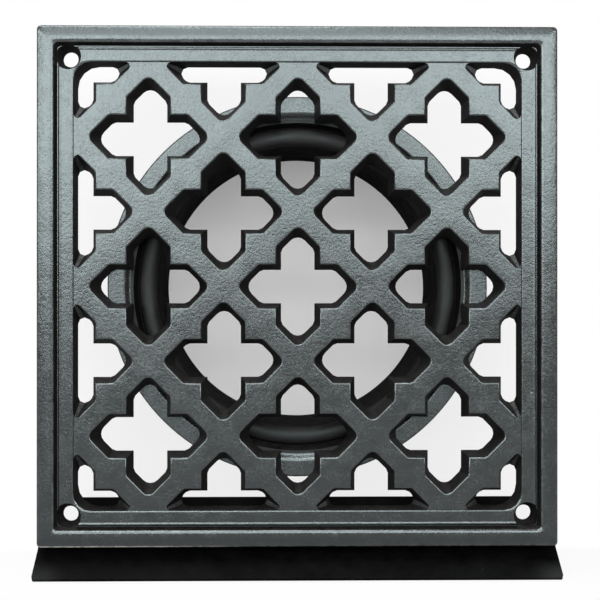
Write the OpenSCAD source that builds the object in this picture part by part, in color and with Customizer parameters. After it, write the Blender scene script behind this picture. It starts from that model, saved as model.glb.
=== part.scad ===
// Square ventilation grille: a cast plate pierced with a tracery lattice, a round duct collar
// screwed to its back, and a bent drip sill held behind its bottom rail.
// The front faces -Y, up is +Z, and the origin is the centre of the plate's back face.

/* [Plate] */
// Width and height of the square plate
plate_w = 200; // [196:1:230]
// Thickness of the plate at the crown of its border
plate_t = 9.3; // [8.8:0.1:14]
// Rounding of the plate's four outer corners
corner_r = 1.6; // [0.8:0.1:3]

/* [Border moulding] */
// Width of the crowned outer band
crown_w = 6.7; // [5:0.1:9]
// Fall of the crown from its highest line to the plate's edge
crown_fall = 1.3; // [0.4:0.1:2.5]
// Width of the groove inside the crown
groove_w = 1.9; // [1.6:0.1:4]
// Depth of the groove below the crown
groove_depth = 3.2; // [1.2:0.1:4]
// Width of the bead between the groove and the inner band
bead_w = 0.8; // [0.6:0.1:2.5]
// Drop of the bead below the crown
bead_drop = 0.3; // [0.1:0.1:1.5]
// Width of the flat inner band
band_w = 4.6; // [3:0.1:7]
// Drop of the inner band below the bead
band_drop = 0.15; // [0.1:0.05:0.8]

/* [Lattice] */
// Thickness of the lattice, flush with the back of the plate
lattice_t = 8.2; // [6:0.1:8.3]
// Number of half crosses across the opening, an even number
cells = 6; // [6:2:8]
// Width of an arm of the cross-shaped holes, below the rounded edge
arm_w = 16.6; // [12:0.1:18]
// Width of the diagonal bars, below the rounded edge
bar_w = 7.6; // [5:0.1:10]
// Narrowing of the holes on each side from front to back
draft = 1.8; // [0.5:0.1:2.2]
// Narrowing of the opening's own walls from front to back
wall_draft = 0.6; // [0:0.1:1.2]
// Rounding of the front edges of the holes
arris_r = 0.7; // [0.3:0.1:1.2]
// Rounding of the pointed ends of the arms
tip_r = 2.5; // [1:0.1:4]
// Rounding where an arm's sides turn into its point
shoulder_r = 0.9; // [0.3:0.1:2]
// Rounding of the sharp ends of the half crosses along the border
acute_r = 1.1; // [0.6:0.1:1.8]
// Rounding of the opening's four corners
opening_r = 7; // [4:0.5:12]
// Growth of those roundings from front to back
swell = 1.4; // [0:0.1:1.6]

/* [Wall screws] */
// Distance from the plate's edges in to the wall screw holes
screw_inset = 12; // [11.5:0.1:13]
// Radius of the wall screw holes
screw_r = 3; // [2.5:0.1:3.6]
// Radius of the round recess about each wall screw hole, at the front
recess_r = 5.1; // [4.8:0.1:5.5]
// Radius of the recess at its seat
seat_r = 4.6; // [4.2:0.1:4.7]
// Depth of the seat below the inner band
seat_depth = 4.6; // [2:0.1:5]
// Depth of the countersink below the seat
countersink_h = 2.4; // [0.5:0.1:3]

/* [Duct collar] */
// Outside radius of the spigot that carries the duct
spigot_r = 62; // [58:0.5:63]
// Width of the rolled mouth, from the spigot's outside in to the bore
mouth_w = 6.6; // [5.5:0.1:12]
// Narrowing of the bore towards the far end
bore_draft = 0.8; // [0:0.1:2]
// Length of the collar behind the plate
collar_len = 48; // [30:1:90]
// Thickness of the collar's flange
flange_t = 5; // [4:0.1:8]
// Flange that stands out beyond the collar screws
flange_margin = 4; // [3.5:0.1:6]
// Depth of the stepped ledge below the flange's face
ledge_depth = 2; // [1:0.1:2.5]
// Width of the ledge beside the ring groove
ledge_w = 0.8; // [0.4:0.1:2]
// Width of the rounded step from the flange's face to the ledge
step_w = 3.2; // [1.2:0.1:4]
// Width of the ring groove round the mouth
ring_groove_w = 2.2; // [1.2:0.1:2.6]
// Depth of the ring groove below the ledge
ring_groove_depth = 4; // [1.5:0.1:4.5]
// Drop of the rounded mouth below the ledge
mouth_drop = 0.6; // [0:0.1:2]
// Chamfer on the far end of the spigot
end_chamfer = 1; // [0.5:0.1:2]

/* [Collar screws] */
// Radius of the four collar screws
collar_screw_r = 2; // [1.5:0.1:2.5]
// Radius of their heads
head_r = 3.3; // [2.8:0.1:3.6]
// Height of their heads
head_h = 2.2; // [1.5:0.1:3]
// Depth of their blind holes in the lattice
blind_depth = 5; // [3:0.1:6]
// Room between their heads and the collar's hub
head_gap = 0.85; // [0.3:0.05:1.5]

/* [Drip sill] */
// How far the sill stands out beyond the plate on each side
sill_overhang = 0.9; // [-1:0.1:6]
// Thickness of the sill's sheet
sill_t = 1.6; // [1:0.1:3]
// Height of the sill's upright flange above the plate's bottom edge
sill_rise = 17.8; // [16.5:0.1:19]
// Fall of the sheet below the plate's bottom edge before it bends
sill_fall = 0.4; // [0.1:0.1:5]
// Inside radius of the bend
bend_r = 2; // [1:0.5:8]
// Angle that the lip turns forwards
lip_angle = 58; // [30:1:70]
// Length of the lip's straight slope
lip_len = 15.9; // [6:0.1:20]
// Rounding of the lip's two corners
lip_corner_r = 1.5; // [0.5:0.1:4]

/* [Clearances] */
// Radial clearance of the wall screws in the sill
sill_clearance = 1; // [0.3:0.1:1.4]
// Radial clearance of the collar screws in the flange
flange_clearance = 0.25; // [0.1:0.05:0.5]
// Radial clearance of the collar screws in their blind holes
thread_clearance = 0.05; // [0.02:0.01:0.1]
// Gap left at the bottom of the blind holes
blind_gap = 0.6; // [0.2:0.1:1]

/* [Hidden] */

$fn = 64;

// How far a cutting tool runs past the surface that it cuts
over = 1;
// Points on a rounded corner, each given as a number of steps
tip_steps = 4;
acute_steps = 3;
corner_steps = 4;
arris_steps = 3;

half = plate_w / 2;
sill_w = plate_w + 2 * sill_overhang;
border_w = crown_w + groove_w + bead_w + band_w;
open_half = half - border_w;

// The opening divided into cells: holes stand where the two cell counts add up to an even number
pitch = 2 * open_half / cells;
arm_half = arm_w / 2;
reach = pitch - bar_w / sqrt(2);
wall_h = lattice_t - arris_r;

// Heights of the moulding above the plate's back
crown_peak = 0.7 * crown_w;
groove_floor = plate_t - groove_depth;
bead_top = plate_t - bead_drop;
band_top = bead_top - band_drop;
// The moulding's inner edge stands this far into the opening, and the holes trim it
lip = 0.15;

screw_at = half - screw_inset;

// Radii of the collar, from the spigot out to the flange
ledge_in = spigot_r + ring_groove_w;
step_in = ledge_in + ledge_w;
step_out = step_in + step_w;
bore_r = spigot_r - mouth_w;
// The hub tapers from the flange's back to the spigot, and starts under a share of the step
hub_share = 0.3;
hub_r = step_in + hub_share * step_w;
hub_h = flange_t;
// Collar screws stand beside the hub, in line with the lattice crossing two cells across and one up
collar_screw_ring = hub_r + head_r + head_gap;
collar_screw_angle = atan(0.5);
flange_r = collar_screw_ring + flange_margin;

// Points on an arc about c, from angle a0 to angle a1
function arc(c, r, a0, a1, steps) =
    [for (i = [0:steps]) c + r * [cos(a0 + (a1 - a0) * i / steps), sin(a0 + (a1 - a0) * i / steps)]];

function turned(points, a) =
    [for (p = points) [p[0] * cos(a) - p[1] * sin(a), p[0] * sin(a) + p[1] * cos(a)]];

// A 45 degree corner at p, reached along d0 and left along d1, softened to radius r
function shoulder(p, d0, d1, r) =
    let (t = r * tan(22.5)) [p - t * d0 / norm(d0), p + t * d1 / norm(d1)];

// Outlines of the holes. w is half an arm, q the distance to its sharp point, and
// r holds the radii of the point, the shoulders, the acute ends and the opening's corner.

// One arm towards +X, from the inner corner below it to the shoulder above it
function arm_points(w, q, r) = concat(
    [[w, -w]],
    shoulder([q - w, -w], [1, 0], [1, 1], r[1]),
    arc([q - r[0] * sqrt(2), 0], r[0], -45, 45, tip_steps),
    shoulder([q - w, w], [-1, 1], [-1, 0], r[1])
);

// An acute end on the wall x = -d, above the centre, going round to the left
function acute_end(q, r, d) =
    arc([-d - r[2], q - d - r[2] * tan(67.5)], r[2], 0, 135, acute_steps);

function flipped(points) = [for (i = [len(points) - 1:-1:0]) [points[i][0], -points[i][1]]];

// The corner and the shoulder of half an arm along the wall x = -d, above the centre
function half_arm(w, q, r, d) = concat(
    acute_end(q, r, d),
    shoulder([-w, q - w], [-1, -1], [0, -1], r[1])
);

function cross_outline(w, q, r) =
    [for (k = [0:3]) each turned(arm_points(w, q, r), 90 * k)];

// A cross cut in half by the wall x = -d
function half_outline(w, q, r, d) = concat(
    half_arm(w, q, r, d),
    turned(arm_points(w, q, r), 180),
    [[-w, -w]],
    flipped(half_arm(w, q, r, d))
);

// A quarter of a cross between the walls x = -d and y = -d
function quarter_outline(w, q, r, d) = concat(
    arc([-d - r[3], -d - r[3]], r[3], 0, 90, corner_steps),
    turned(half_arm(w, q, r, d), 90),
    [[-w, -w]],
    flipped(half_arm(w, q, r, d))
);

// Levels of a hole from back to front: height, growth of the outline, share of what the back
// adds to the corners' radii and to the opening's walls
hole_levels = concat(
    [[-over, -draft * (1 + over / wall_h), 1 + over / wall_h]],
    [for (k = [0:arris_steps])
        let (a = 90 * k / arris_steps)
        [wall_h + arris_r * sin(a), arris_r * (1 - cos(a)), 0]],
    [[plate_t + over, arris_r, 0]]
);

// Radii of a hole's corners at one level
function radii(level) =
    let (more = max(level[1], 0) + swell * level[2])
    [tip_r + more, shoulder_r + more, acute_r + more, opening_r + swell * level[2]];

function outline_at(kind, level) =
    let (
        w = arm_half + level[1],
        q = reach + level[1] * sqrt(2),
        d = wall_draft * level[2],
        r = radii(level)
    )
    kind == "cross" ? cross_outline(w, q, r) :
    kind == "half" ? half_outline(w, q, r, d) :
    quarter_outline(w, q, r, d);

// A solid through a stack of rings with equal numbers of points, each ring counter-clockwise
// and closed at both ends about the point c
module loft(rings, heights, c) {
    n = len(rings[0]);
    m = len(rings);
    points = concat(
        [for (k = [0:m - 1]) each [for (p = rings[k]) [p[0], p[1], heights[k]]]],
        [[c[0], c[1], heights[0]], [c[0], c[1], heights[m - 1]]]
    );
    sides = [for (k = [0:m - 2], i = [0:n - 1])
        let (j = (i + 1) % n, a = k * n, b = a + n)
        each [[a + i, b + i, b + j], [a + i, b + j, a + j]]];
    caps = [for (i = [0:n - 1])
        let (j = (i + 1) % n, a = (m - 1) * n)
        each [[m * n, i, j], [m * n + 1, a + j, a + i]]];
    polyhedron(points, concat(sides, caps), convexity = 8);
}

module hole(kind, c) {
    loft([for (level = hole_levels) outline_at(kind, level)], [for (level = hole_levels) level[0]], c);
}

// Where a cap's fan starts in the half and quarter crosses, just inside their walls
fan = 2;

// All holes of the lattice
module lattice_holes() {
    far = cells / 2;
    for (i = [-far + 1:far - 1], j = [-far + 1:far - 1])
        if ((i + j) % 2 == 0)
            translate([i * pitch, j * pitch, 0]) hole("cross", [0, 0]);
    for (side = [0:3], j = [-far + 1:far - 1])
        if ((far + j) % 2 == 0)
            rotate(90 * side) translate([open_half, j * pitch, 0]) hole("half", [-fan, 0]);
    for (side = [0:3])
        rotate(90 * side) translate([open_half, open_half, 0]) hole("quarter", [-fan, -fan]);
}

// A soft step of a section from distance u0 and height h0 to u1 and h1
function soft(u0, u1, h0, h1, steps) =
    [for (i = [0:steps]) [u0 + (u1 - u0) * i / steps, h0 + (h1 - h0) * (1 - cos(180 * i / steps)) / 2]];

// Rounding of the plate's outer edge, how far it is sunk and where it turns into the crown
edge_r = 1;
edge_sink = 0.4;
edge_turn = 112;
// Width and fall of the crown's rounded inner edge
crown_edge_w = 1.5;
crown_edge_fall = 0.9;
// Shares of its width that the groove gives to its outer and its inner wall, and the bead to each slope
outer_wall = 0.45;
inner_wall = 0.4;
bead_slope = 0.45;
// Rounding of the opening's front edge
rim_r = 0.6;

groove_in = crown_w + groove_w;
band_in = groove_in + bead_w;
crown_in = crown_w - crown_edge_w;

// The crown falls from its highest line to the plate's edge
crown_points = [for (i = [1:5])
    let (u = edge_r + (crown_in - edge_r) * i / 5)
    [u, plate_t - crown_fall * pow(1 - u / crown_peak, 2)]];
crown_end = crown_points[4][1];

// The crown's inner edge, rounded as a quarter of an ellipse
crown_edge = [for (i = [1:5])
    let (a = 90 * i / 6)
    [crown_in + crown_edge_w * sin(a), crown_end - crown_edge_fall * (1 - cos(a))]];

// Section of the border, each point as its distance in from the plate's edge and its height
border_section = concat(
    arc([edge_r, plate_t - crown_fall - edge_r * edge_sink], edge_r, 180, edge_turn, 3),
    crown_points,
    crown_edge,
    [[crown_w, crown_end - crown_edge_fall], [crown_w + outer_wall * groove_w, groove_floor]],
    [[groove_in - inner_wall * groove_w, groove_floor]],
    arc([groove_in + bead_slope * bead_w, bead_top - bead_slope * bead_w], bead_slope * bead_w, 160, 90, 3),
    soft(band_in - bead_slope * bead_w, band_in + bead_slope * bead_w, bead_top, band_top, 3),
    arc([border_w + lip - rim_r, band_top - rim_r], rim_r, 90, 0, 3)
);

// A square ring line, u in from the plate's edge, with rounded corners
function ring_line(u, r) =
    [for (k = [0:3]) each turned(arc([half - u - r, half - u - r], r, 0, 90, corner_steps), 90 * k)];

// The corners stay tight on the crown and the groove and open out over the inner band
function ring_corner(u) =
    u <= band_in ? corner_r : corner_r + (opening_r - corner_r) * (u - band_in) / (border_w + lip - band_in);

// The moulded border, swept round the plate as one closed ring of square lines
module border() {
    section = concat([[0, 0]], border_section, [[border_w + lip, 0]]);
    m = len(section);
    n = 4 * (corner_steps + 1);
    points = [for (s = section) each [for (p = ring_line(s[0], ring_corner(s[0]))) [p[0], p[1], s[1]]]];
    faces = [for (k = [0:m - 1], i = [0:n - 1])
        let (j = (i + 1) % n, a = k * n, b = ((k + 1) % m) * n)
        each [[a + i, b + i, b + j], [a + i, b + j, a + j]]];
    polyhedron(points, faces, convexity = 10);
}

// The slab of the lattice, run under the moulding on all sides
module lattice_blank() {
    keyed = open_half + 0.5 * band_w;
    translate([-keyed, -keyed, 0]) cube([2 * keyed, 2 * keyed, lattice_t]);
}

// A wall screw's hole with its countersink and the round recess at the groove's corner
module wall_screw_hole() {
    seat_at = band_top - seat_depth;
    slope = (recess_r - seat_r) / seat_depth;
    translate([0, 0, -over]) cylinder(r = screw_r, h = plate_t + 2 * over);
    translate([0, 0, seat_at - countersink_h])
        cylinder(r1 = screw_r, r2 = seat_r, h = countersink_h);
    translate([0, 0, seat_at])
        cylinder(r1 = seat_r, r2 = recess_r + slope * over, h = seat_depth + over);
}

module at_wall_screws() {
    for (x = [-screw_at, screw_at], z = [-screw_at, screw_at])
        translate([x, z, 0]) children();
}

module at_collar_screws() {
    for (a = [collar_screw_angle, 180 - collar_screw_angle])
        for (turn = [0, 180])
            rotate(a + turn) translate([collar_screw_ring, 0, 0]) children();
}

// Stands up what is drawn lying on its back: its height becomes the way to the front
module stand_up() {
    rotate([90, 0, 0]) children();
}

module grille_plate() {
    color([0.25, 0.27, 0.27])
        stand_up()
            difference() {
                union() {
                    border();
                    lattice_blank();
                }
                lattice_holes();
                at_wall_screws() wall_screw_hole();
                translate([0, 0, -over])
                    at_collar_screws()
                        cylinder(r = collar_screw_r + thread_clearance, h = blind_depth + over);
            }
}

mouth_top = -ledge_depth - mouth_drop;
groove_bottom = -ledge_depth - ring_groove_depth;
// Rounding at the ring groove's bottom, where the rolled mouth starts
ring_floor_r = 0.5;
roll_start = groove_bottom + ring_floor_r;
// Bevel on the flange's front rim
flange_bevel = 0.5;
// Fall of the rolled mouth from its crest into the bore, as a share of its width
mouth_roll = 0.5;

// The soft step from the flange's face down to the ledge
step_points = soft(step_out, step_in, 0, -ledge_depth, 8);

// The rolled mouth, from the ring groove over its crest to the bore
mouth_points = [for (i = [0:10])
    let (a = 180 * i / 10, fall = i < 5 ? mouth_top - roll_start : mouth_roll * mouth_w)
    [bore_r + mouth_w * (1 + cos(a)) / 2, mouth_top - fall * (1 - sin(a))]];

// Half section of the collar: radius and height, with the flange's face at height zero
collar_section = concat(
    [[flange_r, -flange_t], [flange_r, -flange_bevel], [flange_r - flange_bevel, 0]],
    step_points,
    [[ledge_in, -ledge_depth]],
    arc([spigot_r + ring_floor_r, roll_start], ring_floor_r, 0, -150, 5),
    mouth_points,
    [[bore_r - bore_draft, -collar_len]],
    [[spigot_r - end_chamfer, -collar_len], [spigot_r, -collar_len + end_chamfer]],
    [[spigot_r, -flange_t - hub_h], [hub_r, -flange_t]]
);

module duct_collar() {
    color([0.2, 0.22, 0.22])
        stand_up()
            difference() {
                rotate_extrude() polygon(collar_section);
                translate([0, 0, -flange_t - over])
                    at_collar_screws()
                        cylinder(r = collar_screw_r + flange_clearance, h = flange_t + 2 * over);
            }
}

// A screw's slot, its pointed end's bevel and the upright share of its head
slot_w = 0.25 * head_r;
slot_depth = 0.5 * head_h;
point_bevel = 0.5;
head_side = 0.3 * head_h;
shank_top = blind_depth - blind_gap;

head_points = [for (i = [0:5])
    let (a = 90 * i / 5)
    [head_r * cos(a), -flange_t - head_side - (head_h - head_side) * sin(a)]];

// Half section of a screw: a plain shank up into the lattice and a domed head under the flange
screw_section = concat(
    [[0, shank_top], [collar_screw_r - point_bevel, shank_top]],
    [[collar_screw_r, shank_top - point_bevel], [collar_screw_r, -flange_t], [head_r, -flange_t]],
    head_points
);

module collar_screw() {
    difference() {
        rotate_extrude() polygon(screw_section);
        translate([-head_r, -slot_w / 2, -flange_t - head_h - over])
            cube([2 * head_r, slot_w, slot_depth + over]);
    }
}

module collar_screws() {
    color([0.6, 0.6, 0.58])
        stand_up() at_collar_screws() collar_screw();
}

// Side section of the sill, given as depth behind the plate's back and height
sill_top = -half + sill_rise;
bend_at = [-bend_r, -half - sill_fall];
lip_dir = [-sin(lip_angle), -cos(lip_angle)];
lip_out = [cos(lip_angle), -sin(lip_angle)];
lip_end = bend_at + bend_r * lip_out + lip_len * lip_dir;
lip_edge_r = 0.25 * sill_t;

sill_section = concat(
    [[sill_t, sill_top], [0, sill_top]],
    arc(bend_at, bend_r, 0, -lip_angle, 6),
    arc(lip_end - lip_edge_r * (lip_dir - lip_out), lip_edge_r, 180 - lip_angle, 270 - lip_angle, 3),
    arc(lip_end + (sill_t - lip_edge_r) * lip_out - lip_edge_r * lip_dir, lip_edge_r,
        -90 - lip_angle, -lip_angle, 3),
    arc(bend_at, bend_r + sill_t, -lip_angle, 0, 8)
);

// What rounds off one corner of the lip: a square bar less the rounding
module corner_trim() {
    difference() {
        translate([0, 0, -over]) cube([lip_corner_r + over, lip_corner_r + over, sill_t + 2 * over]);
        translate([0, 0, -2 * over]) cylinder(r = lip_corner_r, h = sill_t + 4 * over);
    }
}

module drip_sill() {
    color([0.09, 0.1, 0.1])
        difference() {
            translate([-sill_w / 2, 0, 0])
                rotate([90, 0, 90]) linear_extrude(sill_w) polygon(sill_section);
            stand_up()
                at_wall_screws()
                    translate([0, 0, -sill_t - over])
                        cylinder(r = screw_r + sill_clearance, h = sill_t + 2 * over);
            for (side = [0, 1])
                mirror([side, 0, 0])
                    translate([sill_w / 2 - lip_corner_r, lip_end[0], lip_end[1]])
                        rotate([-90 - lip_angle, 0, 0])
                            translate([0, -lip_corner_r, 0]) corner_trim();
        }
}

grille_plate();
duct_collar();
collar_screws();
drip_sill();
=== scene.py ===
"""Looks of a cast ventilation grille: its pierced plate, duct collar, collar screws and drip sill.

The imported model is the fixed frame, in metres: the front faces -Y, up is +Z, and the plate's back
is y = 0.
"""
import math

import bpy
from bpy.props import FloatProperty, FloatVectorProperty, PointerProperty
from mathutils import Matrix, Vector


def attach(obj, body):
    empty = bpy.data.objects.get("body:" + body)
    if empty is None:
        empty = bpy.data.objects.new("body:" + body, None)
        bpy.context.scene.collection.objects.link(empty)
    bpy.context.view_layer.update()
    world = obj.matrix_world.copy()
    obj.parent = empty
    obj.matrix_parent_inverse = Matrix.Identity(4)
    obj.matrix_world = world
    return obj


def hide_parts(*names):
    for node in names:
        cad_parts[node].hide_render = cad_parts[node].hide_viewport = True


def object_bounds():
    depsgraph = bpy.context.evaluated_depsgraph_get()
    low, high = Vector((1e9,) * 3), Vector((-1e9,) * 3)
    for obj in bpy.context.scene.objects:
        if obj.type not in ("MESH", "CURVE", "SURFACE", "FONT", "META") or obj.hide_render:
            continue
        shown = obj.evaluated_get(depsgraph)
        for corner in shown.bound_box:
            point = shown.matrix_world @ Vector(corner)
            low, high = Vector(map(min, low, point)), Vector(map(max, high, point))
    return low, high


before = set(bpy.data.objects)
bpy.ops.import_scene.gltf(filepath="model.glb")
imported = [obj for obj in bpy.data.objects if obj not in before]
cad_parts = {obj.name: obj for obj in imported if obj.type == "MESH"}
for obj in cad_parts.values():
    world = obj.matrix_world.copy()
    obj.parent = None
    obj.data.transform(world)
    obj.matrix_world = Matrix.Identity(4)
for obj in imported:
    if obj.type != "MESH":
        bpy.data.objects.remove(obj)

bl_info = {
    "name": "Cast Ventilation Grille",
    "version": (1, 0, 0),
    "blender": (4, 5, 0),
    "location": "3D Viewport > Sidebar > Grille",
    "description": "Dresses a cast ventilation grille in its paint and zinc, in a plain studio",
    "category": "Object",
}

CAD_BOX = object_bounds()
MM = 0.001

# Turns a plane or a camera that lies flat until it is upright
UPRIGHT = math.radians(90)


# Places on the castings, by which their faces are told apart

# Half the plate's width
PLATE_HALF = CAD_BOX[1].z
# Width of the plate's crown. Inside it, steep faces are walls of grooves and holes
CROWN_W = 6.7 * MM
# Distance of the wall screws from the plate's middle, across and up
SCREW_AT = 88.0 * MM
# Radius that holds the round recess about each wall screw
RECESS_R = 5.3 * MM
# The Y from which a face there belongs to the recess, a little behind the crown's highest line
RECESS_FRONT = -8.28 * MM
# Radius of the collar's spigot
COLLAR_R = 62 * MM
# Radius that holds the ring groove round the collar's mouth
GROOVE_R = 64.3 * MM
# Radius that holds the ledge round the groove
LEDGE_R = 65.3 * MM
# Depth behind the flange's face where the mouth ends and the bore begins
MOUTH_BACK = 6.5 * MM
# A face is steep where less than this of its normal lies along Y
STEEP = 0.5
# A face belongs to the back when its normal points backwards by more than this
FACES_BACK = 0.3

# Distance within which the loose triangles' corners are merged
MERGE_WITHIN = 0.002 * MM
# How far a shading normal leans to the large faces round it, of 100
LARGE_FACES = 90


# Paint and metal

# Tint of the castings' gloss
GLOSS_TINT = 0.80, 0.95, 0.97, 1.0
# Refraction of the paint on the castings' faces
PAINT_IOR = 1.68
# What the rub adds to the paint's roughness
EDGE_POLISH = -0.12
# Roughness of the smooth and the rough patches of the paint in the hollows
DULL_ROUGHNESS = 0.55, 0.70
# The same of the sill's paint
SILL_ROUGHNESS = 0.42, 0.60
# The same of the zinc
ZINC_ROUGHNESS = 0.30, 0.50
# Colour of the dust on the castings' faces
DUST = 0.55, 0.54, 0.52
# Colour of the dust in their hollows
DUST_IN_HOLLOWS = 0.50, 0.49, 0.47
# Colour of the dust on the sill
DUST_ON_SILL = 0.45, 0.44, 0.42
# Colour of the pale line along the plate's foot
FOOT_LINE_COLOUR = 0.75, 0.73, 0.68


# Effects. A scale is in patches to the metre. A pair is a range over which a mask begins or ends

# The castings' mottle
MOTTLE_SCALE = 150.0
MOTTLE_RANGE = 0.28, 0.72
# The grains, as they show in the sheen
GRAIN_RANGE = 0.32, 0.68
# The pits' walls, from the bottom up, in shares of the pits' spacing
PIT_RANGE = 0.03, 0.17

# The rub begins where a rounded edge has turned so far forwards, by the Y of its normal
RUB_BEGINS = 0.35, 0.70
# It ends where the edge goes over into the flat face
RUB_ENDS = 0.90, 0.985
# The patches in which it is whole
RUB_SCALE = 260.0
RUB_RANGE = 0.34, 0.62

# Depth of the plate's lowest arris below the middle. A pale line runs along it, and ends upwards
FOOT_AT = 99.6 * MM
FOOT_RANGE = -FOOT_AT, -FOOT_AT + 0.6 * MM
# Where along X the line fades out, from the left to the right
FOOT_FADES = -0.8 * FOOT_AT, -0.1 * FOOT_AT
# The share of the line that is left where the rub is broken
FOOT_BETWEEN = 0.4

# Dust lies on what turns up so far, by the Z of its normal
TURNS_UP = 0.35, 0.95
# The patches that it lies in
DUST_SCALE = 400.0
DUST_RANGE = 0.35, 0.65
# The cells that may hold a speck of lint each
LINT_SCALE = 55.0
# A speck's radius, in shares of its cell, where it goes from full to none
LINT_SIZE = 0.012, 0.022
# The share of the cells that hold none
NO_LINT = 0.8

# Painted light on the sill: how many times lighter its paint is where that light is strongest, at the
# ends of its lip
SILL_PAINTED_LIGHT = 12.0
# Where the painted light goes over into the plain paint, from the lip's edge back
LIP_LIGHT_RANGE = CAD_BOX[0].y, 0.4 * CAD_BOX[0].y
# Where it begins towards the lip's ends, from the sill's middle out
ENDS_LIGHT_RANGE = 0.86 * CAD_BOX[1].x, CAD_BOX[1].x
# The share of it that is left between the ends
MIDDLE_LIGHT_SHARE = 0.12
# The clouds in it
CLOUD_SCALE = 32.0
CLOUD_RANGE = 0.35, 0.65
# The share of it that is left between the clouds
CLOUD_LIGHT_SHARE = 0.4

# The screws' turning lines: a noise that is squeezed along their axes
LINE_SQUEEZE = 1.0, 14.0, 1.0
LINE_SCALE = 900.0
LINE_RANGE = 0.3, 0.7
LINE_DEPTH = 0.02 * MM
# The clouds in the zinc's colour
ZINC_SCALE = 500.0


# Studio

# The photograph's camera, fitted to the plate's corners, the screw holes and the holes' centres
CAMERA_AT = Vector((-7.03, -478.68, -6.1)) * MM
CAMERA_TILT = math.radians(0.103)
CAMERA_TURN = math.radians(-0.95)
# Width of its sensor in millimetres, as Blender counts it
SENSOR_WIDTH = 36.0
# The nearest that it sees
CLIP_START = 10 * MM

# Width of the wall and of the floor
STAGE_SIZE = 4.0
# Gap between the sill and the floor
FLOOR_GAP = 0.6 * MM
# How light the wall and the floor are to the grille, and how light both are to the camera
WALL_SHADE = 0.22
FLOOR_SHADE = 0.3
STAGE_WHITE = 0.9
# The share of their white that the paint's gloss takes up, since the grille shades its own wall
GLOSS_SHARE = 0.07

# The share of the floor's white that is its own light. The rest keeps the grille's shadow
FLOOR_GLOW = 0.93
# The same share of the wall's white, behind the plate
PLATE_GLOW = 0.80
# What is added to that share all round the plate
OPEN_GLOW = 0.20
# Where the shade that the plate casts on the wall ends, outwards from the middle
PLATE_SHADE = 98 * MM, 108 * MM
# The bore's radius. The shade of the bore on the wall ends between this and the spigot's radius
BORE_R = 55 * MM
# The wall's own light in the bore, at a lower and at an upper height. Less of it at the top is painted
# shade, where the collar shades the wall
BORE_GLOW = 0.37, 0.25
BORE_HEIGHTS = -0.5 * BORE_R, 0.9 * BORE_R

# Each soft box's name, place, aim, width and height, the setting of its power, and its share of that
SOFT_BOXES = (
    ("left_soft_box", (-0.43, -0.872, 0.237), (0.0, 0.0, 0.0), (0.90, 0.38), "key_power", 1.08),
    ("right_soft_box", (0.42, -0.866, 0.277), (0.0, 0.0, 0.0), (0.90, 0.38), "key_power", 1.0),
    ("high_soft_box", (-0.055, -0.786, 0.616), (0.0, 0.0, 0.0), (0.80, 0.40), "high_power", 1.0),
    ("top_soft_box", (-0.25, -0.32, 0.95), (0.0, 0.0, -0.05), (0.90, 0.35), "top_power", 1.0),
    ("rear_soft_box", (-0.6, 0.9, 0.6), (0.0, 0.05, 0.0), (0.8, 0.8), "rear_power", 1.0),
)


class GrilleFinish(bpy.types.PropertyGroup):
    """Colours and textures of the grille's paint and metal"""

    paint: FloatVectorProperty(
        name="Paint",
        description="Colour of the satin black paint on the castings",
        subtype="COLOR",
        size=3,
        min=0.0,
        max=1.0,
        default=(0.0152, 0.0128, 0.0123),
    )
    worn_paint: FloatVectorProperty(
        name="Worn Paint",
        description="Colour of the paint where hands and cloths have polished the edges",
        subtype="COLOR",
        size=3,
        min=0.0,
        max=1.0,
        default=(0.118, 0.121, 0.119),
    )
    sill_paint: FloatVectorProperty(
        name="Sill Paint",
        description="Colour of the smoother paint on the folded sill",
        subtype="COLOR",
        size=3,
        min=0.0,
        max=1.0,
        default=(0.0024, 0.0025, 0.0025),
    )
    zinc: FloatVectorProperty(
        name="Zinc",
        description="Colour of the collar screws",
        subtype="COLOR",
        size=3,
        min=0.0,
        max=1.0,
        default=(0.55, 0.55, 0.53),
    )
    grain_size: FloatProperty(
        name="Grain Size",
        description="Width of the grains that the sand mould left under the paint",
        subtype="DISTANCE",
        unit="LENGTH",
        min=0.0001,
        max=0.005,
        default=0.0012,
    )
    grain_depth: FloatProperty(
        name="Grain Depth",
        description="Height of those grains",
        subtype="DISTANCE",
        unit="LENGTH",
        min=0.0,
        max=0.001,
        default=0.00011,
    )
    smooth_angle: FloatProperty(
        name="Smooth Angle",
        description="Edges that turn by less than this are shaded as one surface",
        subtype="ANGLE",
        unit="ROTATION",
        min=0.0,
        max=math.pi,
        default=math.radians(35),
    )


class GrilleStudio(bpy.types.PropertyGroup):
    """Sizes and light of the studio round the grille"""

    lens: FloatProperty(
        name="Lens",
        description="Focal length on a sensor 36 mm wide",
        min=20.0,
        max=200.0,
        default=73.6,
    )
    key_power: FloatProperty(
        name="Key Light",
        description="Power of the two soft boxes in front. The left one is a little stronger",
        subtype="POWER",
        unit="POWER",
        min=0.0,
        max=100.0,
        default=4.45,
    )
    high_power: FloatProperty(
        name="High Light",
        description="Power of the soft box above those, which draws the slopes and edges that face up",
        subtype="POWER",
        unit="POWER",
        min=0.0,
        max=100.0,
        default=2.2,
    )
    top_power: FloatProperty(
        name="Top Light",
        description="Power of the soft box overhead, which glints on steps and arrises that face up",
        subtype="POWER",
        unit="POWER",
        min=0.0,
        max=100.0,
        default=6.8,
    )
    rear_power: FloatProperty(
        name="Rear Light",
        description="Power of the soft box that shows the grille's back",
        subtype="POWER",
        unit="POWER",
        min=0.0,
        max=100.0,
        default=14.0,
    )
    room_light: FloatProperty(
        name="Room Light",
        description="Brightness of the plain room all round",
        min=0.0,
        max=1.0,
        default=0.04,
    )
    wall_gap: FloatProperty(
        name="Wall Gap",
        description="Room between the collar's far end and the white wall",
        subtype="DISTANCE",
        unit="LENGTH",
        min=0.0002,
        max=0.5,
        default=0.001,
    )


# Small helpers for nodes

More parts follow.
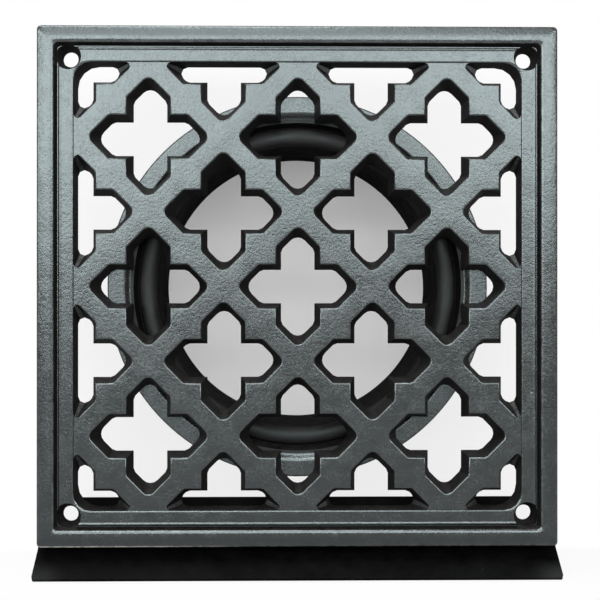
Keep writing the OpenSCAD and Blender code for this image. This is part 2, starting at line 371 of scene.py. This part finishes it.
# Numbers of the Mix node's sockets for colours, because its other kinds of sockets have the same names
COLOUR_A, COLOUR_B, COLOUR_RESULT = 6, 7, 2


def is_socket(value):
    """Whether a value is a node's socket, and not a plain number or colour"""
    return isinstance(value, bpy.types.NodeSocket)


def add_node(tree, kind, place, feeds=None, **settings):
    """A new node at a place of the node editor, with its settings and with what feeds its inputs

    Inputs go by name or number, and are fed by a socket, a number or a colour.
    """
    node = tree.nodes.new(kind)
    node.location = place
    for name, value in settings.items():
        setattr(node, name, value)
    for key, value in (feeds or {}).items():
        if is_socket(value):
            tree.links.new(value, node.inputs[key])
        else:
            node.inputs[key].default_value = value
    return node


def maths(tree, operation, place, *values):
    """A Math node whose inputs are sockets or plain numbers"""
    node = add_node(tree, "ShaderNodeMath", place, dict(enumerate(values)), operation=operation)
    return node.outputs[0]


def product(tree, place, first, *others):
    """The product of several masks"""
    x, y = place
    for k, other in enumerate(others):
        first = maths(tree, "MULTIPLY", (x + 200 * k, y), first, other)
    return first


def ramp(tree, place, value, low, high, out_low=0.0, out_high=1.0):
    """A smooth step of a value, from out_low at low to out_high at high"""
    feeds = {"Value": value, "From Min": low, "From Max": high, "To Min": out_low, "To Max": out_high}
    node = add_node(tree, "ShaderNodeMapRange", place, feeds, interpolation_type="SMOOTHSTEP")
    return node.outputs["Result"]


def fall(tree, place, value, low, high):
    """A smooth step of a value down from 1 at low to 0 at high"""
    return ramp(tree, place, value, low, high, 1.0, 0.0)


def noise(tree, place, where, scale, detail, roughness=0.5):
    """Noise over a position, with a scale in patches to the metre"""
    feeds = {"Vector": where, "Scale": scale, "Detail": detail, "Roughness": roughness}
    return add_node(tree, "ShaderNodeTexNoise", place, feeds).outputs["Fac"]


def coordinates(tree, place):
    """The Object position and the Normal of a point, by name"""
    return add_node(tree, "ShaderNodeTexCoord", place).outputs


def axes(tree, place, vector):
    """The X, Y and Z of a vector, by name"""
    return add_node(tree, "ShaderNodeSeparateXYZ", place, {0: vector}).outputs


def mixed_colour(tree, place, share, first, second):
    """A mix of two colours, each a socket or a plain colour"""
    first, second = (colour if is_socket(colour) else (*colour, 1.0) for colour in (first, second))
    feeds = {"Factor": share, COLOUR_A: first, COLOUR_B: second}
    node = add_node(tree, "ShaderNodeMix", place, feeds, data_type="RGBA")
    return node.outputs[COLOUR_RESULT]


def mottled(tree, place, mask, colour, darker, lighter):
    """A plain colour that a mask takes from a darker to a lighter shade of itself"""
    shades = ([share * c for c in colour] for share in (darker, lighter))
    return mixed_colour(tree, place, mask, *shades)


def new_group(name, inputs, outputs):
    """An empty shader node group with named inputs and outputs, and what its inputs give

    The inputs come with their defaults, and the outputs with their kinds of socket.
    """
    tree = bpy.data.node_groups.new(name, "ShaderNodeTree")
    for label, default in inputs.items():
        socket = tree.interface.new_socket(name=label, in_out="INPUT", socket_type="NodeSocketFloat")
        socket.default_value = default
    for label, kind in outputs.items():
        tree.interface.new_socket(name=label, in_out="OUTPUT", socket_type=kind)
    return tree, add_node(tree, "NodeGroupInput", (-1200, 0)).outputs


def end_group(tree, feeds):
    """Feeds a node group's outputs, and gives the finished group"""
    add_node(tree, "NodeGroupOutput", (900, 0), feeds)
    return tree


def place_group(tree, build, place, feeds):
    """Puts a shared effect into a material with its own values, and gives its outputs

    The function build makes the group, which has the function's name, the first time.
    """
    group = bpy.data.node_groups.get(build.__name__) or build()
    return add_node(tree, "ShaderNodeGroup", place, feeds, node_tree=group).outputs


# Effects that the finishes share


def cast_skin():
    """Grain, shallow waves and pits of a painted casting, as a normal, a mottle and a fine grain"""
    tree, given = new_group(
        "cast_skin",
        {
            "Grain Size": 0.6 * MM, "Grain Depth": 0.05 * MM,
            "Wave Size": 14 * MM, "Wave Depth": 0.2 * MM,
            "Pit Size": 3.5 * MM, "Pit Depth": 0.06 * MM,
        },
        {"Normal": "NodeSocketVector", "Mottle": "NodeSocketFloat", "Grain": "NodeSocketFloat"},
    )
    where = coordinates(tree, (-1200, 300))["Object"]

    wave_scale = maths(tree, "DIVIDE", (-1000, -300), 1.0, given["Wave Size"])
    waves = noise(tree, (-800, -300), where, wave_scale, detail=1.0, roughness=0.4)

    pit_scale = maths(tree, "DIVIDE", (-1000, -600), 1.0, given["Pit Size"])
    feeds = {"Vector": where, "Scale": pit_scale}
    cells = add_node(tree, "ShaderNodeTexVoronoi", (-800, -600), feeds, feature="F1")
    pits = ramp(tree, (-600, -600), cells.outputs["Distance"], *PIT_RANGE)

    grain_scale = maths(tree, "DIVIDE", (-1000, 0), 1.0, given["Grain Size"])
    grains = noise(tree, (-800, 0), where, grain_scale, detail=3.0, roughness=0.75)

    # Each bump takes up the normal of the one before it
    normal = {}
    for x, height, depth in (
        (-300, waves, "Wave Depth"),
        (0, pits, "Pit Depth"),
        (300, grains, "Grain Depth"),
    ):
        feeds = {"Height": height, "Distance": given[depth], **normal}
        normal = {"Normal": add_node(tree, "ShaderNodeBump", (x, -200), feeds).outputs["Normal"]}

    patches = noise(tree, (-800, 300), where, MOTTLE_SCALE, detail=5.0, roughness=0.7)
    return end_group(tree, {
        "Mottle": ramp(tree, (-600, 300), patches, *MOTTLE_RANGE),
        "Grain": ramp(tree, (-600, 100), grains, *GRAIN_RANGE),
        **normal,
    })


def rubbed_edges():
    """Masks of the edges that hands and cloths have rubbed, and of a pale line along the plate's
    lowest arris
    """
    tree, given = new_group(
        "rubbed_edges", {"Rub": 0.6}, {"Edge": "NodeSocketFloat", "Foot": "NodeSocketFloat"}
    )
    coords = coordinates(tree, (-1200, 300))
    facing = maths(tree, "ABSOLUTE", (-800, 300), axes(tree, (-1000, 300), coords["Normal"])["Y"])
    turned = ramp(tree, (-600, 300), facing, *RUB_BEGINS)
    before_flat = fall(tree, (-600, 0), facing, *RUB_ENDS)
    patches = noise(tree, (-800, -300), coords["Object"], RUB_SCALE, detail=4.0, roughness=0.7)
    unbroken = ramp(tree, (-600, -300), patches, *RUB_RANGE)

    along = axes(tree, (-1000, 600), coords["Object"])
    foot = fall(tree, (-600, 600), along["Z"], *FOOT_RANGE)
    to_the_left = fall(tree, (-300, 800), along["X"], *FOOT_FADES)
    kept = maths(tree, "MULTIPLY_ADD", (0, 800), unbroken, 1.0 - FOOT_BETWEEN, FOOT_BETWEEN)
    foot_line = product(tree, (300, 800), to_the_left, kept)
    return end_group(tree, {
        "Edge": product(tree, (-300, 200), turned, before_flat, unbroken, given["Rub"]),
        "Foot": product(tree, (500, 600), foot, before_flat, foot_line),
    })


def resting_dust():
    """A mask of fine dust on what faces up, and of a few specks of lint all over"""
    tree, given = new_group(
        "resting_dust", {"Amount": 0.3, "Specks": 1.0}, {"Dust": "NodeSocketFloat"}
    )
    coords = coordinates(tree, (-1200, 300))
    upward = ramp(tree, (-800, 300), axes(tree, (-1000, 300), coords["Normal"])["Z"], *TURNS_UP)
    patches = noise(tree, (-1000, 0), coords["Object"], DUST_SCALE, detail=5.0, roughness=0.7)
    patchy = ramp(tree, (-800, 0), patches, *DUST_RANGE)
    film = product(tree, (-600, 300), upward, patchy, given["Amount"])

    feeds = {"Vector": coords["Object"], "Scale": LINT_SCALE}
    cells = add_node(tree, "ShaderNodeTexVoronoi", (-1000, -300), feeds, feature="F1").outputs
    near = fall(tree, (-800, -300), cells["Distance"], *LINT_SIZE)
    chance = add_node(tree, "ShaderNodeSeparateColor", (-800, -600), {0: cells["Color"]}).outputs[0]
    chosen = maths(tree, "GREATER_THAN", (-600, -600), chance, NO_LINT)
    specks = product(tree, (-400, -300), near, chosen, given["Specks"])
    return end_group(tree, {"Dust": maths(tree, "MAXIMUM", (300, 0), film, specks)})


# Finishes


def new_finish(name):
    """An empty material and its node tree"""
    finish = bpy.data.materials.new(name)
    finish.use_nodes = True
    finish.node_tree.nodes.clear()
    return finish, finish.node_tree


def put_shader(tree, feeds):
    """Gives a finish its shader, fed by sockets and plain values, and its output"""
    shader = add_node(tree, "ShaderNodeBsdfPrincipled", (600, 0), feeds)
    add_node(tree, "ShaderNodeOutputMaterial", (900, 0), {"Surface": shader.outputs["BSDF"]})


def cast_paint(name, settings, rub, roughness, wave_depth):
    """Satin paint on a sand casting: grain, soft waves, polished edges and a little dust"""
    finish, tree = new_finish(name)
    skin = place_group(tree, cast_skin, (-900, -300), {
        "Grain Size": settings.grain_size, "Grain Depth": settings.grain_depth,
        "Wave Size": 12 * MM, "Wave Depth": wave_depth, "Pit Size": 4.5 * MM, "Pit Depth": 0.02 * MM,
    })
    edges = place_group(tree, rubbed_edges, (-900, 100), {"Rub": rub})
    dust = place_group(tree, resting_dust, (-900, 400), {"Amount": 0.10, "Specks": 0.8})

    paint = mottled(tree, (-600, 300), skin["Mottle"], settings.paint, darker=0.8, lighter=1.25)
    rubbed = mixed_colour(tree, (-200, 300), edges["Edge"], paint, settings.worn_paint)
    dusty = mixed_colour(tree, (0, 300), dust["Dust"], rubbed, DUST)
    foot_line = mixed_colour(tree, (200, 300), edges["Foot"], dusty, FOOT_LINE_COLOUR)

    # The mottle and the grain together go from 0 to 2
    uneven = maths(tree, "ADD", (-700, 0), skin["Mottle"], skin["Grain"])
    satin = ramp(tree, (-600, 0), uneven, 0.0, 2.0, *roughness)
    polish = maths(tree, "MULTIPLY", (-400, 0), edges["Edge"], EDGE_POLISH)
    put_shader(tree, {
        "Base Color": foot_line,
        "Roughness": maths(tree, "ADD", (-200, 0), satin, polish),
        "Normal": skin["Normal"],
        "IOR": PAINT_IOR,
        "Specular IOR Level": 1.0,
        "Specular Tint": GLOSS_TINT,
    })
    return finish


def dull_paint(name, settings, shade, gloss):
    """The same paint, rougher where no cloth polishes it, and darkened by shade with less gloss as
    painted shade: in the holes, the grooves, the mouth and the bore
    """
    finish, tree = new_finish(name)
    skin = place_group(tree, cast_skin, (-900, -300), {
        "Grain Size": settings.grain_size, "Grain Depth": settings.grain_depth,
        "Wave Size": 14 * MM, "Wave Depth": 0.1 * MM, "Pit Size": 4.5 * MM, "Pit Depth": 0.04 * MM,
    })
    dust = place_group(tree, resting_dust, (-900, 400), {"Amount": 0.03, "Specks": 0.0})

    paint = mottled(
        tree, (-600, 300), skin["Mottle"], settings.paint, darker=0.7 * shade, lighter=1.3 * shade
    )
    put_shader(tree, {
        "Base Color": mixed_colour(tree, (-200, 300), dust["Dust"], paint, DUST_IN_HOLLOWS),
        "Roughness": ramp(tree, (-600, 0), skin["Mottle"], 0.0, 1.0, *DULL_ROUGHNESS),
        "Normal": skin["Normal"],
        "Specular IOR Level": gloss,
        "Specular Tint": GLOSS_TINT,
    })
    return finish


def sheet_paint(settings):
    """Smooth satin paint on the folded sill, with painted light towards its lip's edge and ends"""
    finish, tree = new_finish("sill_sheet_paint")
    skin = place_group(tree, cast_skin, (-900, -300), {
        "Grain Size": 0.9 * MM, "Grain Depth": 0.05 * MM,
        "Wave Size": 20 * MM, "Wave Depth": 0.25 * MM, "Pit Size": 6 * MM, "Pit Depth": 0.01 * MM,
    })
    dust = place_group(tree, resting_dust, (-900, 400), {"Amount": 0.002, "Specks": 0.4})

    # Painted light: the paint is lighter towards the lip's edge and most at its ends, where the
    # plate's shadow gives way, broken up by clouds
    where = coordinates(tree, (-1200, 700))["Object"]
    along = axes(tree, (-1000, 700), where)
    lip = fall(tree, (-800, 700), along["Y"], *LIP_LIGHT_RANGE)
    across = maths(tree, "ABSOLUTE", (-1000, 500), along["X"])
    ends = ramp(tree, (-800, 500), across, *ENDS_LIGHT_RANGE, MIDDLE_LIGHT_SHARE, 1.0)
    clouds = noise(tree, (-1000, 1000), where, CLOUD_SCALE, detail=4.0, roughness=0.6)
    cloudy = ramp(tree, (-800, 1000), clouds, *CLOUD_RANGE, CLOUD_LIGHT_SHARE, 1.0)
    painted_light = product(tree, (-700, 600), lip, ends, cloudy)

    colour = settings.sill_paint
    paint = mottled(tree, (-600, 300), skin["Mottle"], colour, darker=0.6, lighter=1.6)
    lit_sill_paint = mixed_colour(tree, (-300, 500), painted_light, paint, [SILL_PAINTED_LIGHT * c for c in colour])
    put_shader(tree, {
        "Base Color": mixed_colour(tree, (0, 300), dust["Dust"], lit_sill_paint, DUST_ON_SILL),
        "Roughness": ramp(tree, (-600, 0), skin["Mottle"], 0.0, 1.0, *SILL_ROUGHNESS),
        "Normal": skin["Normal"],
        "Specular IOR Level": 0.03,
    })
    return finish


def zinc_plate(settings):
    """Dull zinc on turned steel, with fine lines round each screw's axis"""
    finish, tree = new_finish("zinc_plate")
    where = coordinates(tree, (-1200, 0))["Object"]
    feeds = {"Vector": where, "Scale": LINE_SQUEEZE}
    squeezed = add_node(tree, "ShaderNodeMapping", (-1000, 0), feeds)
    lines = noise(tree, (-800, 0), squeezed.outputs["Vector"], LINE_SCALE, detail=3.0)
    clouds = noise(tree, (-800, 300), where, ZINC_SCALE, detail=4.0)
    bump = add_node(tree, "ShaderNodeBump", (0, -300), {"Height": lines, "Distance": LINE_DEPTH})
    put_shader(tree, {
        "Base Color": mottled(tree, (-300, 300), clouds, settings.zinc, darker=0.7, lighter=1.2),
        "Roughness": ramp(tree, (-300, 0), lines, *LINE_RANGE, *ZINC_ROUGHNESS),
        "Normal": bump.outputs["Normal"],
        "Metallic": 1.0,
    })
    return finish


# Pieces


def select_only(piece):
    """Selects one object and nothing else, in object mode"""
    if bpy.context.object and bpy.context.object.mode != "OBJECT":
        bpy.ops.object.mode_set(mode="OBJECT")
    bpy.ops.object.select_all(action="DESELECT")
    piece.select_set(True)
    bpy.context.view_layer.objects.active = piece


def piece_from(node, name, smooth_angle):
    """A piece with the shape of a CAD node, its loose triangles merged and its curves shaded smooth"""
    piece = bpy.data.objects.new(name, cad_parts[node].data.copy())
    piece.data.name = name
    piece.data.materials.clear()
    bpy.context.scene.collection.objects.link(piece)
    select_only(piece)
    bpy.ops.mesh.customdata_custom_splitnormals_clear()
    bpy.ops.object.mode_set(mode="EDIT")
    bpy.ops.mesh.select_all(action="SELECT")
    bpy.ops.mesh.remove_doubles(threshold=MERGE_WITHIN)
    bpy.ops.object.mode_set(mode="OBJECT")
    bpy.ops.object.shade_smooth_by_angle(angle=smooth_angle)
    weighted = piece.modifiers.new("even_faces", "WEIGHTED_NORMAL")
    weighted.keep_sharp = True
    weighted.weight = LARGE_FACES
    bpy.ops.object.modifier_apply(modifier=weighted.name)
    return piece


def finish_piece(piece, node, finish):
    """Gives a piece its finish, and puts it in its CAD node's place"""
    piece.data.materials.append(finish)
    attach(piece, "root")
    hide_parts(node)


def paint_hollows(piece, finish, is_hollow):
    """Gives the dull paint with its painted shade to the faces that a test picks, by their centre and
    normal
    """
    piece.data.materials.append(finish)
    for face in piece.data.polygons:
        if is_hollow(face.center, face.normal):
            face.material_index = len(piece.data.materials) - 1


def in_plate_hollow(place, normal):
    """Whether a face is in a screw recess, or a wall of the plate's holes and grooves"""
    away = math.hypot(abs(place.x) - SCREW_AT, abs(place.z) - SCREW_AT)
    in_recess = away < RECESS_R and place.y > RECESS_FRONT and normal.y < FACES_BACK
    inside_crown = max(abs(place.x), abs(place.z)) < PLATE_HALF - CROWN_W
    is_wall = inside_crown and abs(normal.y) < STEEP
    return in_recess or is_wall


def in_mouth(place, normal):
    """Whether a face is on the collar's ledge, in its ring groove or on its rolled mouth"""
    return math.hypot(place.x, place.z) < LEDGE_R and place.y < MOUTH_BACK and normal.y < FACES_BACK


def in_bore(place, normal):
    """Whether a face is in the collar's ring groove, or faces into its bore behind the mouth"""
    in_groove = in_mouth(place, normal) and COLLAR_R < math.hypot(place.x, place.z) < GROOVE_R
    faces_in = place.x * normal.x + place.z * normal.z < 0.0
    behind_mouth = faces_in and place.y > MOUTH_BACK
    return in_groove or behind_mouth


class GRILLE_OT_cast_plate(bpy.types.Operator):
    """Dress the pierced plate in satin black paint"""

    bl_idname = "grille.cast_plate"
    bl_label = "Cast Plate"

    def execute(self, context):
        settings = context.scene.grille_finish
        piece = piece_from("grille_plate", "grille_plate_casting", settings.smooth_angle)
        finish_piece(piece, "grille_plate", cast_paint(
            "plate_paint", settings, rub=0.55, roughness=(0.15, 0.30), wave_depth=0.22 * MM
        ))
        # Painted shade: the walls of the holes and grooves and the screw recesses get a darker, duller
        # copy of the paint
        walls = dull_paint("hole_wall_shaded_paint", settings, shade=0.75, gloss=0.25)
        paint_hollows(piece, walls, in_plate_hollow)
        return {"FINISHED"}


class GRILLE_OT_duct_collar(bpy.types.Operator):
    """Dress the duct collar behind the plate"""

    bl_idname = "grille.duct_collar"
    bl_label = "Duct Collar"

    def execute(self, context):
        settings = context.scene.grille_finish
        piece = piece_from("duct_collar", "duct_collar_casting", settings.smooth_angle)
        finish_piece(piece, "duct_collar", cast_paint(
            "collar_paint", settings, rub=0.0, roughness=(0.20, 0.345), wave_depth=0.06 * MM
        ))
        # The ledge and rolled mouth get a duller, slightly darker copy of the paint: partly a matter
        # paint, partly painted shade on the recessed ledge
        mouth = dull_paint("mouth_shaded_paint", settings, shade=0.9, gloss=0.55)
        paint_hollows(piece, mouth, in_mouth)
        # Painted shade: the ring groove and the bore get a much darker, duller copy of the paint
        bore = dull_paint("bore_shaded_paint", settings, shade=0.4, gloss=0.1)
        paint_hollows(piece, bore, in_bore)
        return {"FINISHED"}


class GRILLE_OT_collar_screws(bpy.types.Operator):
    """Dress the four screws that hold the collar"""

    bl_idname = "grille.collar_screws"
    bl_label = "Collar Screws"

    def execute(self, context):
        settings = context.scene.grille_finish
        piece = piece_from("collar_screws", "collar_screw_set", settings.smooth_angle)
        finish_piece(piece, "collar_screws", zinc_plate(settings))
        return {"FINISHED"}


class GRILLE_OT_drip_sill(bpy.types.Operator):
    """Dress the folded sill below the plate"""

    bl_idname = "grille.drip_sill"
    bl_label = "Drip Sill"

    def execute(self, context):
        settings = context.scene.grille_finish
        piece = piece_from("drip_sill", "drip_sill_sheet", settings.smooth_angle)
        finish_piece(piece, "drip_sill", sheet_paint(settings))
        return {"FINISHED"}


# Stage, light and camera


def seen_directly(tree, place):
    """1 for rays from the camera and through clear things, and less for those off gloss"""
    path = add_node(tree, "ShaderNodeLightPath", place).outputs
    x, y = place
    off_gloss = maths(tree, "MULTIPLY", (x + 200, y - 200), path["Is Glossy Ray"], GLOSS_SHARE)
    seen = maths(tree, "MAXIMUM", (x + 400, y), path["Is Camera Ray"], off_gloss)
    return maths(tree, "MAXIMUM", (x + 600, y), seen, path["Is Transmission Ray"])


def put_stage_shader(tree, shade, glow):
    """Makes a surface white to the camera, a plain shade to the grille, and clear from behind

    The glow, a number or a socket, is the share of the white that is the surface's own light.
    """
    seen = seen_directly(tree, (-900, 300))
    colour = mixed_colour(tree, (-200, 400), seen, [shade] * 3, [STAGE_WHITE] * 3)
    matt = add_node(tree, "ShaderNodeBsdfDiffuse", (0, 100), {"Color": colour})
    light = add_node(tree, "ShaderNodeEmission", (0, -100), {"Strength": 1.0})
    front = add_node(tree, "ShaderNodeMixShader", (300, 0), {
        "Fac": maths(tree, "MULTIPLY", (-200, 200), seen, glow),
        1: matt.outputs["BSDF"],
        2: light.outputs["Emission"],
    })
    clear = add_node(tree, "ShaderNodeBsdfTransparent", (300, -200))
    side = add_node(tree, "ShaderNodeNewGeometry", (300, 300))
    surface = add_node(tree, "ShaderNodeMixShader", (600, 0), {
        "Fac": side.outputs["Backfacing"],
        1: front.outputs["Shader"],
        2: clear.outputs["BSDF"],
    })
    add_node(tree, "ShaderNodeOutputMaterial", (900, 0), {"Surface": surface.outputs["Shader"]})


def wall_white():
    """White all round, a little less behind the plate, and darker in the bore, most at its top as
    painted shade of the collar
    """
    finish, tree = new_finish("wall_white")
    where = coordinates(tree, (-1600, -300))["Object"]
    # The distance from the collar's axis: the length of the position without its Y
    feeds = {"Vector": where, "Scale": (1.0, 0.0, 1.0)}
    feeds = {0: add_node(tree, "ShaderNodeMapping", (-1400, -300), feeds).outputs["Vector"]}
    length = add_node(tree, "ShaderNodeVectorMath", (-1200, -300), feeds, operation="LENGTH")
    away = length.outputs["Value"]
    # How far the place reaches out across or up, whichever is more
    along = axes(tree, (-1400, -600), where)
    across = maths(tree, "ABSOLUTE", (-1200, -600), along["X"])
    up = maths(tree, "ABSOLUTE", (-1200, -800), along["Z"])
    reach = maths(tree, "MAXIMUM", (-1000, -600), across, up)

    beyond_plate = ramp(tree, (-800, -600), reach, *PLATE_SHADE, 0.0, OPEN_GLOW)
    bore_glow = ramp(tree, (-800, -900), along["Z"], *BORE_HEIGHTS, *BORE_GLOW)
    behind_plate = ramp(tree, (-800, -300), away, BORE_R, COLLAR_R, 0.0, PLATE_GLOW)
    shaded = maths(tree, "MAXIMUM", (-600, -500), bore_glow, behind_plate)
    put_stage_shader(tree, WALL_SHADE, maths(tree, "ADD", (-400, -300), shaded, beyond_plate))
    return finish


def floor_white():
    """White, with part of it as its own light, so that the rest keeps the grille's shadow"""
    finish, tree = new_finish("floor_white")
    put_stage_shader(tree, FLOOR_SHADE, FLOOR_GLOW)
    return finish


def stage_plane(name, centre, turn, finish):
    """A large square, turned about X, with its place in its mesh"""
    bpy.ops.object.select_all(action="DESELECT")
    bpy.ops.mesh.primitive_plane_add(size=STAGE_SIZE, location=centre, rotation=(turn, 0.0, 0.0))
    made = bpy.context.object
    made.name = name
    made.data.name = name
    bpy.ops.object.transform_apply(location=True, rotation=True, scale=True)
    made.data.materials.append(finish)
    return made


def soft_box(name, place, aim, size, power):
    """An area light at a place, turned to its aim"""
    lamp = bpy.data.lights.new(name, "AREA")
    lamp.shape = "RECTANGLE"
    lamp.size, lamp.size_y = size
    lamp.energy = power
    made = bpy.data.objects.new(name, lamp)
    made.location = place
    made.rotation_euler = (Vector(aim) - Vector(place)).to_track_quat("-Z", "Y").to_euler()
    bpy.context.scene.collection.objects.link(made)


def room(strength):
    """White to the camera, and a plain soft light to all else"""
    world = bpy.data.worlds.new("plain_room")
    bpy.context.scene.world = world
    world.use_nodes = True
    tree = world.node_tree
    tree.nodes.clear()
    white = 1.0, 1.0, 1.0, 1.0
    soft = add_node(tree, "ShaderNodeBackground", (0, 100), {"Color": white, "Strength": strength})
    bright = add_node(tree, "ShaderNodeBackground", (0, -100), {"Color": white, "Strength": 1.0})
    path = add_node(tree, "ShaderNodeLightPath", (-300, 300)).outputs
    light = add_node(tree, "ShaderNodeMixShader", (300, 0), {
        "Fac": path["Is Camera Ray"], 1: soft.outputs["Background"], 2: bright.outputs["Background"],
    })
    add_node(tree, "ShaderNodeOutputWorld", (600, 0), {"Surface": light.outputs["Shader"]})


def front_camera(focal_length):
    """The photograph's camera"""
    lens = bpy.data.cameras.new("front_camera")
    lens.lens = focal_length
    lens.sensor_width = SENSOR_WIDTH
    lens.clip_start = CLIP_START
    camera = bpy.data.objects.new("front_camera", lens)
    camera.location = CAMERA_AT
    camera.rotation_euler = (UPRIGHT + CAMERA_TILT, 0.0, CAMERA_TURN)
    bpy.context.scene.collection.objects.link(camera)
    return camera


class GRILLE_OT_studio(bpy.types.Operator):
    """Set the grille in a plain white studio, with its lights and the photograph's camera"""

    bl_idname = "grille.studio"
    bl_label = "Studio"

    def execute(self, context):
        studio = context.scene.grille_studio
        low, high = CAD_BOX
        wall_at = 0.0, high.y + studio.wall_gap, STAGE_SIZE / 2 + low.z
        wall = stage_plane("white_wall", wall_at, UPRIGHT, wall_white())
        floor = stage_plane("pale_floor", (0.0, 0.0, low.z - FLOOR_GAP), 0.0, floor_white())

        for name, place, aim, size, setting, share in SOFT_BOXES:
            soft_box(name, place, aim, size, share * getattr(studio, setting))
        room(studio.room_light)
        context.scene.camera = front_camera(studio.lens)
        context.scene.view_settings.view_transform = "Standard"
        return {"FINISHED"}


class GRILLE_PT_sidebar(bpy.types.Panel):
    """The grille's settings and steps"""

    bl_idname = "GRILLE_PT_sidebar"
    bl_label = "Ventilation Grille"
    bl_space_type = "VIEW_3D"
    bl_region_type = "UI"
    bl_category = "Grille"

    def draw(self, context):
        layout = self.layout
        for settings in (context.scene.grille_finish, context.scene.grille_studio):
            box = layout.box()
            for name in settings.__annotations__:
                box.prop(settings, name)
        column = layout.column(align=True)
        for step in STEPS:
            column.operator(step.bl_idname)


STEPS = (
    GRILLE_OT_cast_plate,
    GRILLE_OT_duct_collar,
    GRILLE_OT_collar_screws,
    GRILLE_OT_drip_sill,
    GRILLE_OT_studio,
)
CLASSES = (GrilleFinish, GrilleStudio, *STEPS, GRILLE_PT_sidebar)


def register():
    """Adds the settings, the steps and the sidebar"""
    for cls in CLASSES:
        bpy.utils.register_class(cls)
    bpy.types.Scene.grille_finish = PointerProperty(type=GrilleFinish)
    bpy.types.Scene.grille_studio = PointerProperty(type=GrilleStudio)


def unregister():
    """Takes them away again"""
    del bpy.types.Scene.grille_studio
    del bpy.types.Scene.grille_finish
    for cls in reversed(CLASSES):
        bpy.utils.unregister_class(cls)


def main():
    """Makes every piece and the studio"""
    register()
    bpy.ops.grille.cast_plate()
    bpy.ops.grille.duct_collar()
    bpy.ops.grille.collar_screws()
    bpy.ops.grille.drip_sill()
    bpy.ops.grille.studio()


if __name__ == "__main__":
    main()
